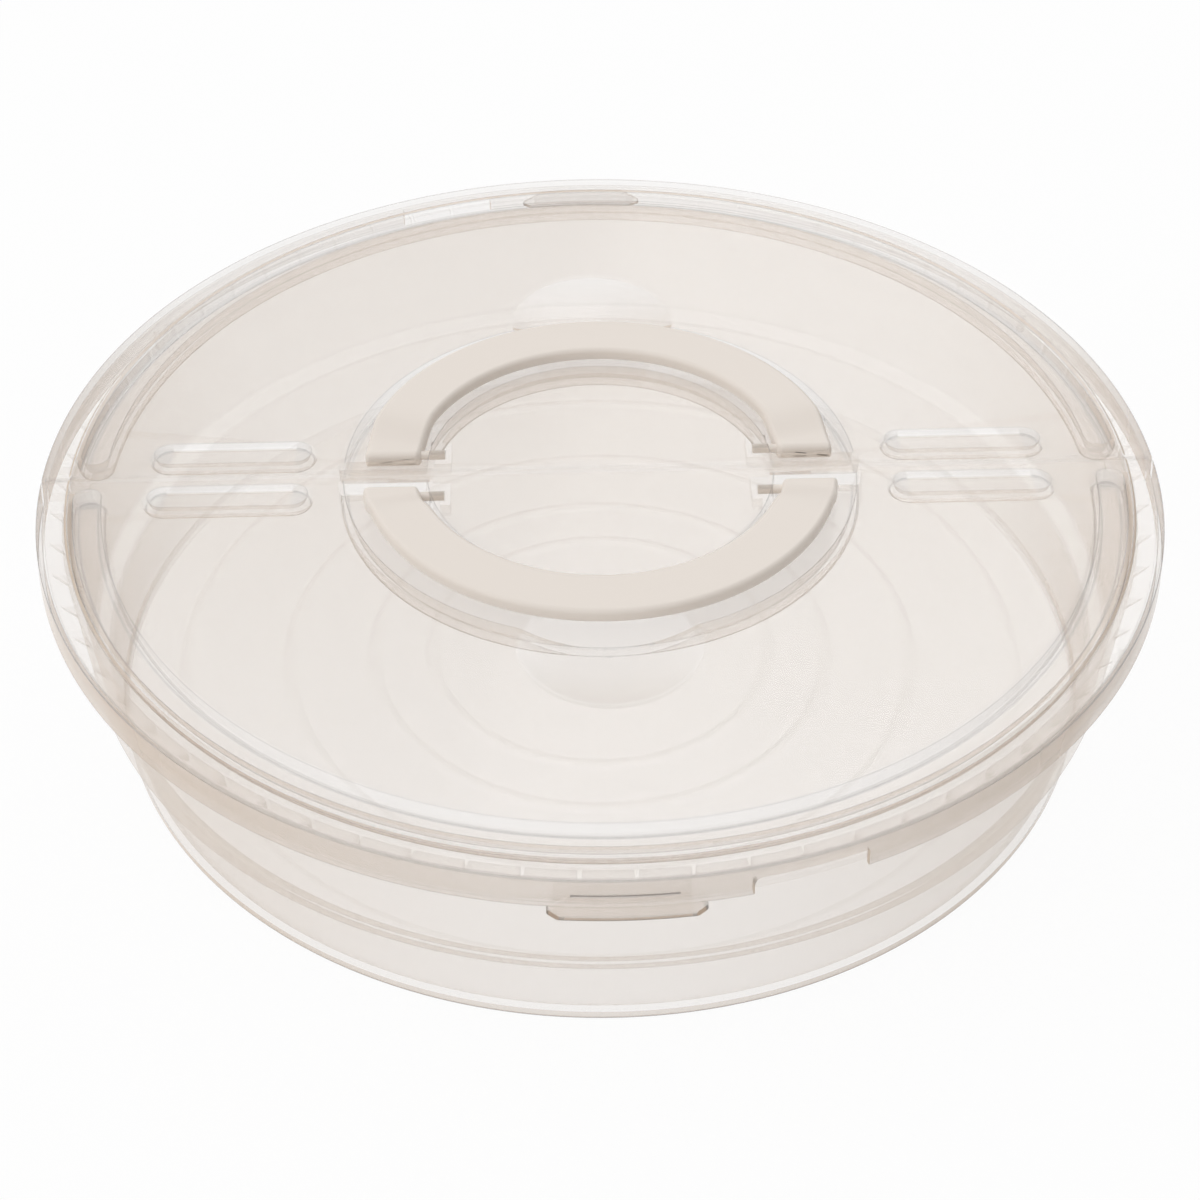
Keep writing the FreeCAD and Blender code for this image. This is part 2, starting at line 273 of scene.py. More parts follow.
# %% Cream polypropylene
GRAINS_PER_METRE = 900.0
GRAIN_DEPTH = 0.0004
cream_plastic, tree, out = new_material("cream_polypropylene")
place = add_node(tree, "ShaderNodeTexCoord")
grain = add_node(tree, "ShaderNodeTexNoise", inputs={"Scale": GRAINS_PER_METRE, "Detail": 2.0},
                 links={"Vector": place.outputs["Object"]})
bump = add_node(tree, "ShaderNodeBump", inputs={"Strength": 0.06, "Distance": GRAIN_DEPTH},
                links={"Height": grain.outputs["Fac"]})
bar = add_node(tree, "ShaderNodeBsdfPrincipled",
               inputs={"Base Color": linear("ebe2d9"), "Roughness": 0.42, "IOR": 1.49},
               links={"Normal": bump.outputs["Normal"]})
tree.links.new(bar.outputs[0], out.inputs["Surface"])

# %% [markdown]
# Tools for turned mouldings
#
# Nearly every form on the keeper is round, so most pieces start as an outline in a vertical plane that is
# spun about an upright axis, as on a lathe. The outline is a circle primitive with as many corners as the
# shape needs. Its corners are put in place and rounded with the bevel tool, because moulded edges are
# never sharp. Pieces are then joined or cut with Boolean modifiers, in the way that the mould's inserts
# shape the plastic. Sizes are in millimetres from here on.

# %% Helpers for shapes
MM = 0.001
NEAR = 1e-3


def clamp(value, low=0.0, high=1.0):
    """The value, kept between two limits."""
    return min(max(value, low), high)


def pick(piece, kind, test):
    """Selects the vertices, edges or faces of the edited mesh whose points all pass a test in millimetres."""
    bpy.ops.mesh.select_mode(type=kind)
    bpy.ops.mesh.select_all(action="DESELECT")
    mesh = bmesh.from_edit_mesh(piece.data)
    items = {"VERT": mesh.verts, "EDGE": mesh.edges, "FACE": mesh.faces}[kind]
    for item in items:
        points = [item] if kind == "VERT" else item.verts
        if all(test(*(point.co / MM)) for point in points):
            item.select_set(True)
    mesh.select_flush_mode()
    bmesh.update_edit_mesh(piece.data)


def outline(name, corners, steps=4):
    """Outline in the XZ plane from (x, z) or (x, z, round) corners, left open for editing."""
    bpy.ops.object.select_all(action="DESELECT")
    bpy.ops.mesh.primitive_circle_add(vertices=len(corners), radius=1.0, fill_type="NGON", location=(0, 0, 0))
    piece = bpy.context.object
    piece.name = name
    piece.data.name = name
    for vertex, corner in zip(piece.data.vertices, corners):
        vertex.co = (corner[0] * MM, 0, corner[1] * MM)
    bpy.ops.object.mode_set(mode="EDIT")
    for i, corner in enumerate(corners):
        if len(corner) == 3:
            here = Vector(corner[:2])
            to_before = Vector(corners[i - 1][:2]) - here
            to_after = Vector(corners[(i + 1) % len(corners)][:2]) - here
            reach = corner[2] / math.tan(to_before.angle(to_after) / 2)
            pick(piece, "VERT", lambda x, y, z: abs(x - corner[0]) < NEAR and abs(z - corner[1]) < NEAR)
            bpy.ops.mesh.bevel(offset=reach * MM, offset_type="ABSOLUTE", segments=steps, affect="VERTICES")
    return piece


def spin(degrees, steps, centre=(0, 0)):
    """Spins what is selected about an upright axis, anticlockwise from above as angles are counted."""
    bpy.ops.mesh.spin(steps=steps, angle=math.radians(-degrees), center=(centre[0] * MM, centre[1] * MM, 0),
                      axis=(0, 0, 1), use_auto_merge=False)


def thicken(distance):
    """Extrudes the whole outline along Y."""
    bpy.ops.mesh.select_all(action="SELECT")
    bpy.ops.mesh.extrude_region_move(TRANSFORM_OT_translate={"value": (0, distance * MM, 0)})


def bare_line():
    """Takes away the face of an outline, so that only its line is spun or extruded."""
    bpy.ops.mesh.select_all(action="SELECT")
    bpy.ops.mesh.delete(type="ONLY_FACE")
    bpy.ops.mesh.select_mode(type="EDGE")
    bpy.ops.mesh.select_all(action="SELECT")


def close_up(piece):
    """Merges doubled points, turns all faces outwards and leaves edit mode."""
    bpy.ops.mesh.select_mode(type="VERT")
    bpy.ops.mesh.select_all(action="SELECT")
    bpy.ops.mesh.remove_doubles(threshold=0.002 * MM)
    bpy.ops.mesh.dissolve_degenerate(threshold=0.001 * MM)
    bpy.ops.mesh.select_all(action="SELECT")
    bpy.ops.mesh.normals_make_consistent(inside=False)
    bpy.ops.object.mode_set(mode="OBJECT")


def move(piece, x=0, y=0, z=0, turn=0):
    """Turns a finished shape about the upright axis, shifts it, and keeps that in its mesh."""
    bpy.ops.object.select_all(action="DESELECT")
    piece.select_set(True)
    bpy.context.view_layer.objects.active = piece
    piece.rotation_euler = (0, 0, math.radians(turn))
    piece.location = (x * MM, y * MM, z * MM)
    bpy.ops.object.transform_apply(location=True, rotation=True, scale=True)
    return piece


def turned(name, corners, steps):
    """A piece turned all the way round. An edge that lies on the axis isn't spun."""
    piece = outline(name, corners)
    bare_line()
    pick(piece, "EDGE", lambda x, y, z: abs(x) < NEAR)
    bpy.ops.mesh.delete(type="EDGE")
    bpy.ops.mesh.select_all(action="SELECT")
    spin(360, steps)
    close_up(piece)
    return piece


def swept(name, corners, span, steps, start):
    """A piece swept about the upright axis over a span of degrees that starts at an angle."""
    piece = outline(name, corners)
    bpy.ops.mesh.select_all(action="SELECT")
    spin(span, steps)
    close_up(piece)
    low = min(math.degrees(math.atan2(v.co.y, v.co.x)) for v in piece.data.vertices)
    return move(piece, turn=start - round(low))


def keep_front(piece, gap):
    """Cuts a piece square at this distance before the hinge line and keeps its front part."""
    bpy.ops.object.mode_set(mode="EDIT")
    bpy.ops.mesh.select_all(action="SELECT")
    bpy.ops.mesh.bisect(plane_co=(0, -gap * MM, 0), plane_no=(0, 1, 0), use_fill=True, clear_outer=True)
    close_up(piece)
    return piece


def combine(piece, tool, operation):
    """Joins a tool shape to a piece or cuts it away, and removes the tool."""
    bpy.context.view_layer.objects.active = piece
    modifier = piece.modifiers.new(operation.lower(), "BOOLEAN")
    modifier.operation = operation
    modifier.solver = "EXACT"
    modifier.object = tool
    bpy.ops.object.modifier_apply(modifier=modifier.name)
    bpy.data.objects.remove(tool)
    bpy.ops.object.mode_set(mode="EDIT")
    close_up(piece)
    return piece


def duplicate(piece, name):
    """A copy of a piece with its own mesh."""
    copy = piece.copy()
    copy.data = piece.data.copy()
    copy.name = name
    copy.data.name = name
    bpy.context.scene.collection.objects.link(copy)
    return copy


# %% [markdown]
# Marks on the faces, and the finish
#
# The clear plastic reads two marks from each face. One is high on the narrow faces of a tightly rounded
# edge, and it paints shade there: a grey line that stands in for the dark refraction along the edge. The
# other is the depth of plastic behind the face, found with a ray that is cast into the wall, compared with
# a usual wall. Both are multiplied by a share that each piece gives for the place of the face. The last
# function shades a piece smooth, keeps its flat faces flat and says which body the piece moves with.

# %% Helpers for marks and finish
USUAL_WALL = 2.0
DEEPEST = 3.6
RAY_START = 0.01
NARROW = 0.35
SMALL_AREA = 6
LEAST_APART = 0.02
LINE_BEND = 0.5
SMOOTH_ANGLE = 35


def mark_edge_shade(piece, share):
    """Stores the mask of the painted edge shade: up to 1 on faces of an edge rounded to less than a
    millimetre, 0 on flats and wide curves.
    """
    mesh = bmesh.new()
    mesh.from_mesh(piece.data)
    half_width = [face.calc_area() / face.calc_perimeter() / MM for face in mesh.faces]
    mesh.faces.index_update()
    values = []
    for face in mesh.faces:
        bend = 0.0
        for edge in face.edges:
            apart = sum(half_width[other.index] for other in edge.link_faces)
            bend = max(bend, edge.calc_face_angle(0.0) / max(apart, LEAST_APART))
        narrow = half_width[face.index] < NARROW and face.calc_area() < SMALL_AREA * MM * MM
        line = clamp((bend - LINE_BEND) / LINE_BEND) if narrow else 0.0
        values.append(line * min(share(face.calc_center_median() / MM, face.normal), 1.0))
    mesh.free()
    # This face mask paints shade: grey lines on rounded edges.
    layer = piece.data.attributes.new("painted_edge_shade", "FLOAT", "FACE")
    layer.data.foreach_set("value", values)


def mark_depth(piece, share):
    """Stores how much tint each face shows: the plastic behind it, times the share for its place."""
    mesh = piece.data
    mesh.calc_loop_triangles()
    walls = BVHTree.FromPolygons([v.co for v in mesh.vertices],
                                 [part.vertices for part in mesh.loop_triangles])
    volume = [0.0] * len(mesh.polygons)
    for part in mesh.loop_triangles:
        distance = walls.ray_cast(part.center - part.normal * RAY_START * MM, -part.normal, DEEPEST * MM)[3]
        volume[part.polygon_index] += part.area * (DEEPEST if distance is None else distance / MM)
    values = []
    for face in mesh.polygons:
        depth = volume[face.index] / max(face.area, 1e-12)
        values.append(depth / USUAL_WALL * share(face.center / MM, face.normal))
    layer = mesh.attributes.new("wall_depth", "FLOAT", "FACE")
    layer.data.foreach_set("value", values)


def finish_piece(piece, material, body, node, share=None):
    """Smooth shading, finish, and the body that the piece moves with, if it moves with only one."""
    bpy.ops.object.select_all(action="DESELECT")
    piece.select_set(True)
    bpy.context.view_layer.objects.active = piece
    bpy.ops.object.shade_smooth_by_angle(angle=math.radians(SMOOTH_ANGLE))
    weigh = piece.modifiers.new("flat_faces_stay_flat", "WEIGHTED_NORMAL")
    weigh.keep_sharp = True
    bpy.ops.object.modifier_apply(modifier=weigh.name)
    if share:
        mark_edge_shade(piece, share)
        mark_depth(piece, share)
    piece.data.materials.clear()
    piece.data.materials.append(material)
    if body:
        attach(piece, body)
    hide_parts(node)
    print(piece.name, "faces:", len(piece.data.polygons))


# %% [markdown]
# The bowl
#
# The bowl is a thin shell: floor, foot wall, sloped shoulder, wider upper wall and a flange at the mouth.
# All of that is one outline, walked from the middle of the underside round to the middle of the floor, so
# a single spin makes it. Low round beads on the floor stiffen it and keep a cake from sliding, and they
# are part of the same outline.

# %% Bowl shell
ROUND_STEPS = 240
FLOOR_TOP = 2.4
INNER_FOOT = 150.9
BEAD_RADII = (133.5, 100.3, 73.1, 54.4)
BEAD_TOP = 3.3
BEAD_HALF = 2.6
bowl_corners = [
    (0, 0),
    (152.7, 0, 1.2),             # foot
    (152.95, 3.6),
    (154.4, 25.5, 1.2),          # shoulder, outside
    (159.3, 28.9, 1.2),
    (162.8, 72.0, 0.8),          # flange
    (167.8, 72.0, 0.3),
    (167.8, 73.6, 0.5),
    (161.0, 73.6, 0.6),
    (157.5, 29.85, 1.6),         # shoulder, inside
    (152.6, 26.45, 1.2),
    (INNER_FOOT, FLOOR_TOP, 2.6),
]
for radius in BEAD_RADII:
    bowl_corners += [(radius + BEAD_HALF, FLOOR_TOP, 2.0), (radius, BEAD_TOP, 3.0),
                     (radius - BEAD_HALF, FLOOR_TOP, 2.0)]
bowl_corners.append((0, FLOOR_TOP))
bowl = turned("cake_bowl", bowl_corners, ROUND_STEPS)
print("bowl points:", len(bowl.data.vertices))

# %% [markdown]
# Lips and gussets of the bowl
#
# At the front and at the rear the flange turns down into a lip that the skirt of the lid grips. Small
# upright gussets under the flange, one every five degrees or so, keep it from bending. One gusset is
# modelled, and copies of it are turned about the middle of the bowl.

# %% Lips and gussets
LIP_SPAN = 120
LIP_STEPS = 80
lip_corners = [(166.2, 72.8), (166.2, 65.0, 0.4), (167.74, 65.0, 0.4), (167.74, 72.8)]
for name, middle in (("front_lip", 270), ("rear_lip", 90)):
    lip = swept(name, lip_corners, LIP_SPAN, LIP_STEPS, middle - LIP_SPAN / 2)
    combine(bowl, lip, "UNION")

GUSSET_COUNT = 70
GUSSET_THICK = 1.3
GUSSET_START = 3.7
gusset = outline("gusset", [(162.0, 72.5), (166.9, 72.5), (162.2, 66.8)])
thicken(GUSSET_THICK)
close_up(gusset)
copies = []
for i in range(GUSSET_COUNT):
    copies.append(move(duplicate(gusset, "gusset_copy"), turn=GUSSET_START + i * 360 / GUSSET_COUNT))
bpy.data.objects.remove(gusset)
bpy.ops.object.select_all(action="DESELECT")
for copy in copies:
    copy.select_set(True)
bpy.context.view_layer.objects.active = copies[0]
bpy.ops.object.join()
combine(bowl, copies[0], "UNION")

# %% [markdown]
# The bowl's tint
#
# In the photograph the walls at the rear are paler, because the light of the room shines through them
# from behind. The shader doesn't carry that light, so the tint gets less towards the rear. The flange
# shows only faintly through the rim of the lid, so its share is small, and its gussets, whose sides face
# along the rim, show some more. On the floor only the thick corner of the foot stands out, at the front
# more than at the rear.

# %% Tint and finish of the bowl
FADE_REACH = 110
FADE = 0.55
FLANGE_LOW = 64
FLANGE_INSIDE = 162.4
FLOOR_ZONE = 6
FOOT_ZONE = 3.7
ALONG_RIM = 0.8
FLANGE_SHARE = 0.25
GUSSET_SHARE = 0.6
FOOT_SHARE = 0.85
FOOT_FADE = 0.35
FLOOR_SHARE = 0.4
WALL_SHARE = 0.75


def backlit(y):
    """Less tint towards the rear, where the light of the room behind shines through the walls."""
    return 1 - FADE * clamp(y / FADE_REACH)


def bowl_tint(middle, normal):
    """Share of the tint for a face of the bowl, from its middle and its normal."""
    radius = math.hypot(middle.x, middle.y)
    along = abs(normal.x * middle.y - normal.y * middle.x) / max(radius, 1.0)
    if middle.z > FLANGE_LOW and radius > FLANGE_INSIDE:
        return (GUSSET_SHARE if along > ALONG_RIM else FLANGE_SHARE) * backlit(middle.y)
    if middle.z < FLOOR_ZONE:
        at_foot = radius > INNER_FOOT and middle.z < FOOT_ZONE
        foot = FOOT_SHARE - FOOT_FADE * clamp(middle.y / FADE_REACH, -1, 1)
        return foot if at_foot else FLOOR_SHARE
    return WALL_SHARE * backlit(middle.y)


finish_piece(bowl, clear_plastic, "bowl", "base_bowl", bowl_tint)

# %% [markdown]
# The lid's plate
#
# The lid is thin everywhere: a flat panel, a lowered rim and a skirt. Both leaves are alike, so the front
# one is modelled and a copy of it is turned round for the rear. The plate is spun as a full disc, and a
# cut along the hinge line leaves the front half.

# %% Plate
PANEL = 76.5
RIM = 75.5
WALL = 1.6
SKIRT_LOW = 65.6
HINGE_GAP = 1.0
GROOVE_RADIUS = 154.9
plate_corners = [
    (0, PANEL),
    (160.8, PANEL, 0.7),                # step down to the rim
    (161.8, RIM, 0.5),
    (170.0, RIM, 0.9),                  # skirt, outside
    (170.6, SKIRT_LOW, 0.5),
    (169.0, SKIRT_LOW, 0.5),            # skirt, inside
    (168.4, RIM - WALL, 0.5),
    (GROOVE_RADIUS, RIM - WALL),        # underside, with its step under the groove
    (GROOVE_RADIUS, PANEL - WALL),
    (0, PANEL - WALL),
]
leaf = keep_front(turned("front_leaf_shell", plate_corners, ROUND_STEPS), HINGE_GAP)
print("plate points:", len(leaf.data.vertices))

# %% [markdown]
# Recesses
#
# Every recess is made twice. First a slightly larger shape is joined to the underside, which is the
# plastic around the recess, and then the recess itself is cut from above. The cutter flares where it
# meets the panel, and that leaves the soft edge that the eye reads as moulded plastic. A groove with
# round ends is a line of outlines along its path, closed by half a turn of the outline at each end. The
# channel is half a ring that stops square at the hinge line, and the finger hollow is a dish whose bottom
# is part of a ball.

# %% Helpers for recesses
OVERRUN = 4.0
LIFT = 0.01
FLARE_ROUND = 0.96
SHELL_FILLET = 1.2
DISH_STEPS = 14
DISH_TURN_STEPS = 72
END_STEPS = 20
RING_STEPS = 120


def recess_half(half_width, depth, lean, flare, fillet, wall=0):
    """Right half of a recess's outline about its middle line, as a cutter or, with a wall, as its shell."""
    if wall:
        side = half_width + wall
        return [(0, PANEL - wall / 2), (side, PANEL - wall / 2),
                (side - lean * (depth + wall / 2), PANEL - depth - wall, SHELL_FILLET),
                (0, PANEL - depth - wall)]
    inner = half_width - flare
    return [(0, PANEL + OVERRUN), (half_width, PANEL + OVERRUN), (half_width, PANEL + LIFT),
            (inner, PANEL + LIFT, FLARE_ROUND * flare), (inner - lean * depth, PANEL - depth, fillet),
            (0, PANEL - depth)]


def dish_half(radius, depth, wall=0):
    """Right half of a shallow dish's outline, whose bottom is part of a ball."""
    reach = radius + wall
    low = PANEL - depth - wall
    top = PANEL - wall / 2 if wall else PANEL + LIFT
    ball = (reach ** 2 + (top - low) ** 2) / (2 * (top - low))
    across = [reach * (1 - i / DISH_STEPS) for i in range(DISH_STEPS + 1)]
    curve = [(x, low + ball - math.sqrt(ball ** 2 - x ** 2)) for x in across]
    upper = [(0, top)] if wall else [(0, PANEL + OVERRUN), (reach, PANEL + OVERRUN)]
    return upper + curve


def both_sides(half, middle):
    """Whole outline of a recess about a middle line at this distance from the axis."""
    right = [(middle + corner[0], *corner[1:]) for corner in half]
    left = [(middle - corner[0], *corner[1:]) for corner in reversed(half[1:-1])]
    return right + left


def round_recess(name, half, x, y):
    """A round recess about an upright axis."""
    return move(turned(name, half, DISH_TURN_STEPS), x, y)


def straight_recess(name, half, x, y, length):
    """A straight recess along X with round ends, whose middles are this far apart."""
    piece = outline(name, both_sides(half, 0))
    bare_line()
    bpy.ops.mesh.extrude_edges_move(TRANSFORM_OT_translate={"value": (0, length * MM, 0)})
    pick(piece, "EDGE", lambda x, y, z: x > -NEAR and y > length - NEAR)
    spin(180, END_STEPS, (0, length))
    pick(piece, "EDGE", lambda x, y, z: x < NEAR and abs(y) < NEAR)
    spin(180, END_STEPS, (0, 0))
    close_up(piece)
    move(piece, y=-length / 2)
    return move(piece, x, y, turn=90)


def arc_recess(name, half, radius, end_angle):
    """A recess round the front half of the lid, whose round ends start at this angle from the hinge line."""
    piece = outline(name, both_sides(half, radius))
    bare_line()
    span = 180 - 2 * end_angle
    spin(span, RING_STEPS)
    for end, keep_outer in ((1, True), (0, False)):
        angle = math.radians(span * end)

        def on_end(x, y, z):
            across = x * math.sin(angle) - y * math.cos(angle)
            out = x * math.cos(angle) + y * math.sin(angle) - radius
            return abs(across) < NEAR and (out > -NEAR if keep_outer else out < NEAR)

        pick(piece, "EDGE", on_end)
        spin(180, END_STEPS, (radius * math.cos(angle), radius * math.sin(angle)))
    close_up(piece)
    return move(piece, turn=180 + end_angle)


def half_ring(name, half, radius, end_gap):
    """A recess along the front half of a ring, cut square at this distance from the hinge line."""
    ring = turned(name, both_sides(half, radius), RING_STEPS)
    return keep_front(move(ring, turn=180 / RING_STEPS), end_gap)


# %% [markdown]
# Sizes of the recesses
#
# The lean is how far the side of a recess comes in per millimetre of depth, the flare is the soft edge at
# the panel, and the fillet is the round at the bottom.

# %% Recess shells and cuts
groove = {"half_width": 4.5, "depth": 4.5, "lean": 0.15, "flare": 0.5, "fillet": 1.0}
trough = {"half_width": 5.3, "depth": 2.2, "lean": 0.15, "flare": 0.4, "fillet": 0.7}
channel = {"half_width": 12.9, "depth": 5.5, "lean": 0.06, "flare": 0.5, "fillet": 1.0}
hollow = {"radius": 26.6, "depth": 5.2}
GROOVE_END_Y = 10.3
TROUGH_X = 112.55
TROUGH_Y = -10.6
TROUGH_LENGTH = 38.1
CHANNEL_RADIUS = 65.5
CHANNEL_GAP = 4.5
HOLLOW_Y = -80.0
groove_end = math.degrees(math.asin(GROOVE_END_Y / GROOVE_RADIUS))
for wall in (WALL, 0):
    kind = "shell" if wall else "cut"
    trough_half = recess_half(**trough, wall=wall)
    shapes = [
        arc_recess("groove_" + kind, recess_half(**groove, wall=wall), GROOVE_RADIUS, groove_end),
        straight_recess("left_trough_" + kind, trough_half, -TROUGH_X, TROUGH_Y, TROUGH_LENGTH),
        straight_recess("right_trough_" + kind, trough_half, TROUGH_X, TROUGH_Y, TROUGH_LENGTH),
        half_ring("channel_" + kind, recess_half(**channel, wall=wall), CHANNEL_RADIUS, CHANNEL_GAP - wall),
        round_recess("hollow_" + kind, dish_half(**hollow, wall=wall), 0, HOLLOW_Y),
    ]
    for shape in shapes:
        combine(leaf, shape, "UNION" if wall else "DIFFERENCE")
print("leaf points:", len(leaf.data.vertices))

# %% [markdown]
# Tab, notch and bearings
#
# A flared tab at the middle of the skirt lifts the leaf off the bowl, and a notch beside it lets a
# fingernail in. The tab is swept like the skirt and trimmed to its shape as seen from the front. Under
# the island inside the channel are two small blocks that hold the pins of the handle.

# %% Tab, notch and bearings
TAB_SPAN = 40
TAB_STEPS = 40
TAB_START = 250
TAB_TOP = 70.3
TAB_LOW = 63.2
TRIM_REACH = -200
tab_corners = [(171.0, TAB_TOP, 0.3), (173.0, TAB_LOW, 0.4), (171.4, TAB_LOW, 0.4), (169.2, TAB_TOP)]
tab = swept("lift_tab", tab_corners, TAB_SPAN, TAB_STEPS, TAB_START)
tab_shape = outline("tab_shape", [
    (-13.0, 70.4, 1.5),
    (14.4, 70.4, 1.5),
    (22.8, SKIRT_LOW, 1.0),
    (18.9, 63.1, 0.8),
    (-16.2, 63.1, 0.8),
    (-20.4, SKIRT_LOW, 1.0),
])
thicken(TRIM_REACH)
close_up(tab_shape)
combine(tab, tab_shape, "INTERSECT")
combine(leaf, tab, "UNION")

NOTCH_DEPTH = -12
NOTCH_Y = -164.0
NOTCH_TURN = 16.9
notch = outline("notch", [(-16.0, 55.0), (-16.0, 71.4, 2.5), (16.0, 71.4, 0.6), (16.0, 55.0)])
thicken(NOTCH_DEPTH)
close_up(notch)
move(notch, y=NOTCH_Y)
move(notch, turn=NOTCH_TURN)
combine(leaf, notch, "DIFFERENCE")

PIN_LINE_Y = -10.2
PIN_LINE_Z = 74.2
BEARING_X = 48.7
BEARING_Z = 73.1
BEARING_SIZE = (6.4, 10.6, 5.2)
BORE_X = 51.2
BORE_RADIUS = 1.48
BORE_LENGTH = 8.0


def rod(x, radius, length):
    """A cylinder on the line of the handle's pins, with its middle at x."""
    bpy.ops.object.select_all(action="DESELECT")
    bpy.ops.mesh.primitive_cylinder_add(vertices=32, radius=radius * MM, depth=length * MM,
                                        location=(x * MM, PIN_LINE_Y * MM, PIN_LINE_Z * MM),
                                        rotation=(0, math.pi / 2, 0))
    bpy.ops.object.transform_apply(location=True, rotation=True, scale=True)
    return bpy.context.object


for hand in (-1, 1):
    bpy.ops.object.select_all(action="DESELECT")
    bpy.ops.mesh.primitive_cube_add(size=1.0,
                                    location=(hand * BEARING_X * MM, PIN_LINE_Y * MM, BEARING_Z * MM))
    bearing = bpy.context.object
    bearing.scale = [side * MM for side in BEARING_SIZE]
    bpy.ops.object.transform_apply(location=True, rotation=True, scale=True)
    bpy.ops.object.mode_set(mode="EDIT")
    bpy.ops.mesh.select_all(action="SELECT")
    bpy.ops.mesh.bevel(offset=0.5 * MM, segments=2, affect="EDGES")
    close_up(bearing)
    combine(leaf, bearing, "UNION")
    combine(leaf, rod(hand * BORE_X, BORE_RADIUS, BORE_LENGTH), "DIFFERENCE")

# %% [markdown]
# The lid's tint
#
# The tab is frosted, so it shows the most tint, with a line along its upper edge, and the skirt shows
# more than the rim. The steep sides of the recesses are paler, so their share is small, and the bearings
# hardly show through the panel. The rear hollow gets more tint than the front one: painted shade that
# stands in for the darker reflections in it.

# %% Tint and finish of the leaves
TAB_LINE_LOW = 69.5
TAB_LINE_HIGH = 70.6
TAB_LINE_RADIUS = 170.4
TAB_OUT = 170.75
RIM_ZONE = 160
STEEP = 0.75
BESIDE_BEARING = 4
BEARING_REACH = 16
HOLLOW_REACH = 28
UNDER = 0.1
TAB_LINE_SHARE = 4.0
TAB_SHARE = 3.0
RIM_SHARE = 0.6
SKIRT_SHARE = 1.6
BEARING_SHARE = 0.2
STEEP_SHARE = 0.4
FRONT_HOLLOW_SHARE = 0.85
REAR_HOLLOW_SHADE_SHARE = 1.4
PANEL_SHARE = 1.2


def leaf_tint(middle, normal):
    """Share of the tint for a face of a leaf or of the film, from its middle and its normal."""
    radius = math.hypot(middle.x, middle.y)
    if radius > TAB_LINE_RADIUS and TAB_LINE_LOW < middle.z < TAB_LINE_HIGH:
        return TAB_LINE_SHARE * backlit(middle.y)
    if abs(middle.y) > TAB_OUT or middle.z < SKIRT_LOW - UNDER:
        return TAB_SHARE * backlit(middle.y)
    if radius > RIM_ZONE:
        return (RIM_SHARE if abs(normal.z) > STEEP else SKIRT_SHARE) * backlit(middle.y)
    at_bearing = abs(abs(middle.x) - BEARING_X) < BESIDE_BEARING and abs(middle.y) < BEARING_REACH
    if at_bearing and middle.z < PANEL - WALL - UNDER:
        return BEARING_SHARE
    if abs(normal.z) < STEEP:
        return STEEP_SHARE
    if middle.z < PANEL - UNDER and math.hypot(middle.x, abs(middle.y) + HOLLOW_Y) < HOLLOW_REACH:
        # The rear hollow's larger share is painted shade for the darker reflections in it.
        return FRONT_HOLLOW_SHARE if middle.y < 0 else REAR_HOLLOW_SHADE_SHARE
    return PANEL_SHARE


rear_leaf = move(duplicate(leaf, "rear_leaf_shell"), turn=180)
finish_piece(leaf, clear_plastic, "front_leaf", "lid_front_leaf", leaf_tint)
finish_piece(rear_leaf, clear_plastic, "rear_leaf", "lid_rear_leaf", leaf_tint)

# %% [markdown]
# The film hinge
#
# Between the leaves the plastic is only a few tenths of a millimetre thick, so it bends thousands of
# times without breaking. It follows the step of the rim, so its outline is a thin stepped strip that is
# extruded across the gap in a few steps. Each half starts on the hinge line and runs towards its leaf.

# %% Film hinge
FILM_THICK = 0.4
FILM_REACH = 0.95
FILM_STEPS = 5
right_line = [(160.4, 76.4), (161.4, 75.4), (168.6, 75.4)]
top_line = [(-x, z) for x, z in reversed(right_line)] + right_line
under_line = [(x, z - FILM_THICK) for x, z in reversed(top_line)]
for name, leaf_body, side in (("front_hinge_film", "front_leaf", -1), ("rear_hinge_film", "rear_leaf", 1)):
    film = outline(name, top_line + under_line)
    step = (0, side * FILM_REACH / FILM_STEPS * MM, 0)
    bpy.ops.mesh.select_all(action="SELECT")
    for i in range(FILM_STEPS):
        bpy.ops.mesh.extrude_region_move(TRANSFORM_OT_translate={"value": step})
    close_up(film)
    finish_piece(film, clear_plastic, None, "film_hinge", leaf_tint)
    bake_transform(film)

# %% [markdown]
# The handles
#
# A handle is half a ring with a flat, softly rounded bar. Towards the hinge line it dips down to its
# pins, so the bar is spun first, its ends are made square to the hinge line and then lowered along a
# smooth curve. The ring of edges next to each end makes way for the wide round of the end. Two pins point
# inwards into the bearings.

# %% Handles
BAR_INNER = 55.7
BAR_OUTER = 72.6
BAR_LOW = 76.7
BAR_TOP = 80.9
BAR_MIDDLE = 78.8
BAR_STEPS = 84
END_GAP = 7.5
END_ROUND = 1.8
DIP_START = 24.0
DIP_LENGTH = 12.5
DIP_TALLER = 0.3
SAME_ANGLE = 0.1
PIN_X = 52.3
PIN_RADIUS = 1.4
PIN_LENGTH = 9.6
PIN_ROUND = 0.3


def angle_from_hinge(x, y):
    """Angle in degrees between the hinge line and a point of the front half."""
    return math.degrees(math.asin(-y / math.hypot(x, y)))


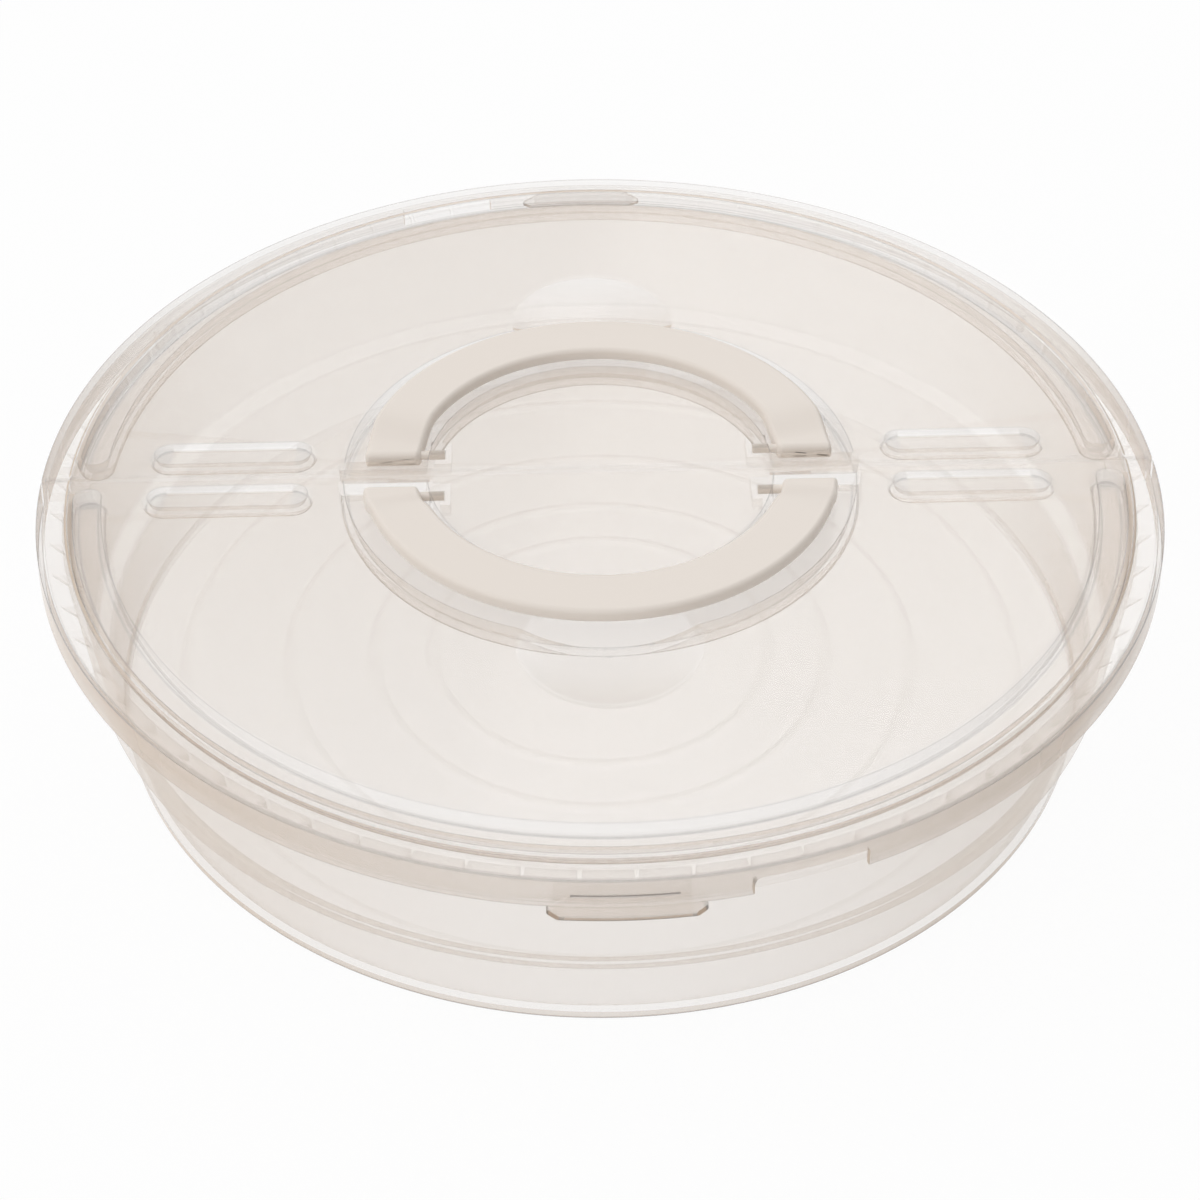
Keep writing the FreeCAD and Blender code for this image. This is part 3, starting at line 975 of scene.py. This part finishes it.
end_angle = math.degrees(math.asin(END_GAP / ((BAR_INNER + BAR_OUTER) / 2)))
next_angle = end_angle + (180 - 2 * end_angle) / BAR_STEPS
handle = outline("front_carry_handle", [(BAR_INNER, BAR_LOW, 0.8), (BAR_OUTER, BAR_LOW, 0.8),
                                        (BAR_OUTER, BAR_TOP, 1.6), (BAR_INNER, BAR_TOP, 1.6)])
bpy.ops.mesh.select_all(action="SELECT")
spin(180 - 2 * end_angle, BAR_STEPS)
close_up(handle)
move(handle, turn=180 + end_angle)
for vertex in handle.data.vertices:
    radius = math.hypot(vertex.co.x, vertex.co.y)
    if abs(angle_from_hinge(vertex.co.x, vertex.co.y) - end_angle) < SAME_ANGLE:
        vertex.co.y = -END_GAP * MM
        vertex.co.x = math.copysign(math.sqrt(radius ** 2 - vertex.co.y ** 2), vertex.co.x)
for vertex in handle.data.vertices:
    share = clamp((DIP_START + vertex.co.y / MM) / DIP_LENGTH)
    dip = share * share * (3 - 2 * share)
    tall = 1 + dip * DIP_TALLER
    middle = BAR_MIDDLE + dip * (PIN_LINE_Z - BAR_MIDDLE)
    vertex.co.z = (middle + (vertex.co.z / MM - BAR_MIDDLE) * tall) * MM
bpy.ops.object.mode_set(mode="EDIT")
pick(handle, "EDGE", lambda x, y, z: abs(angle_from_hinge(x, y) - next_angle) < SAME_ANGLE)
bpy.ops.mesh.dissolve_edges(use_verts=True)
pick(handle, "EDGE", lambda x, y, z: y > -END_GAP - 0.01)
bpy.ops.mesh.bevel(offset=END_ROUND * MM, segments=4, affect="EDGES")
close_up(handle)
for hand in (-1, 1):
    pin = rod(hand * PIN_X, PIN_RADIUS, PIN_LENGTH)
    bpy.ops.object.mode_set(mode="EDIT")
    pick(pin, "EDGE", lambda x, y, z: abs(x) < PIN_X - PIN_LENGTH / 2 + 0.1)
    bpy.ops.mesh.bevel(offset=PIN_ROUND * MM, segments=2, affect="EDGES")
    close_up(pin)
    combine(handle, pin, "UNION")
rear_handle = move(duplicate(handle, "rear_carry_handle"), turn=180)
finish_piece(handle, cream_plastic, "front_grip", "front_handle")
finish_piece(rear_handle, cream_plastic, "rear_grip", "rear_handle")
